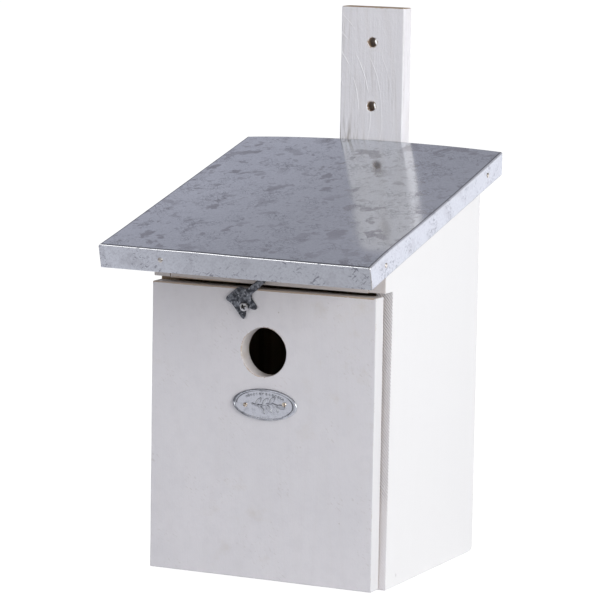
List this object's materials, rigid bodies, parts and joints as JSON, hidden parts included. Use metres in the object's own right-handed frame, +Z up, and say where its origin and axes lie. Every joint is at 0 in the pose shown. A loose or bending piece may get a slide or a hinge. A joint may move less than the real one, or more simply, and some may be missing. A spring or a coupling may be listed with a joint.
{
  "type": "nest box",
  "caption": "Tall wooden nest box with a round entrance in a side-hung front door, a turning catch, a sloping folded sheet roof and a drilled mounting batten up its back.",
  "frame": {"origin": "on the floor, at the middle of the box's footprint without its batten and its roof", "axes": "+Z is up, -Y is the side with the door, +X is to the right of the door as it is seen from the front"},
  "size_m": [0.1921, 0.2234, 0.3664],
  "materials": {
    "white_painted_wood": "thin white paint, matt, with bare wood at worn edges",
    "galvanised_sheet": "galvanised, glossy, with a grey spangle",
    "galvanised_fitting": "galvanised, mottled, half matt",
    "pressed_zinc": "pressed sheet, dull, with bright relief",
    "bright_steel": "zinc plated, bright",
    "dull_steel": "plain steel, dull",
    "brass_tack": "brassed steel, dull"
  },
  "bodies": {
    "box": {"floor_board": "white_painted_wood", "back_board": "white_painted_wood", "left_side": "white_painted_wood", "right_side": "white_painted_wood", "header_rail": "white_painted_wood", "roof_board": "white_painted_wood", "roof_sheet": "galvanised_sheet", "mounting_batten": "white_painted_wood", "batten_screw_low": "bright_steel", "batten_screw_mid": "bright_steel", "batten_screw_high": "bright_steel", "roof_nail_front": "dull_steel", "roof_nail_right_front": "dull_steel", "roof_nail_right_rear": "dull_steel", "roof_nail_left_front": "dull_steel", "roof_nail_left_rear": "dull_steel", "floor_nail_right": "dull_steel", "floor_nail_left": "dull_steel", "low_hinge_box_leaf": "bright_steel", "high_hinge_box_leaf": "bright_steel", "low_hinge_pin": "bright_steel", "high_hinge_pin": "bright_steel", "low_hinge_box_screws": "bright_steel", "high_hinge_box_screws": "bright_steel"},
    "front_door": {"door": "white_painted_wood", "low_hinge_door_leaf": "bright_steel", "high_hinge_door_leaf": "bright_steel", "low_hinge_door_screws": "bright_steel", "high_hinge_door_screws": "bright_steel", "oval_plate": "pressed_zinc", "plate_tack_left": "brass_tack", "plate_tack_right": "brass_tack", "catch_screw": "bright_steel"},
    "catch": {"turn_catch": "galvanised_fitting"}
  },
  "joints": [
    {"name": "door_hinge", "type": "hinge", "parent": "box", "child": "front_door", "pos_m": [-0.0854, -0.0667, 0.1], "axis": [0, 0, -1], "range_deg": [0, 180]},
    {"name": "catch_turn", "type": "hinge", "parent": "front_door", "child": "catch", "pos_m": [-0.0144, -0.08005, 0.1792], "axis": [0, -1, 0], "continuous": true}
  ]
}
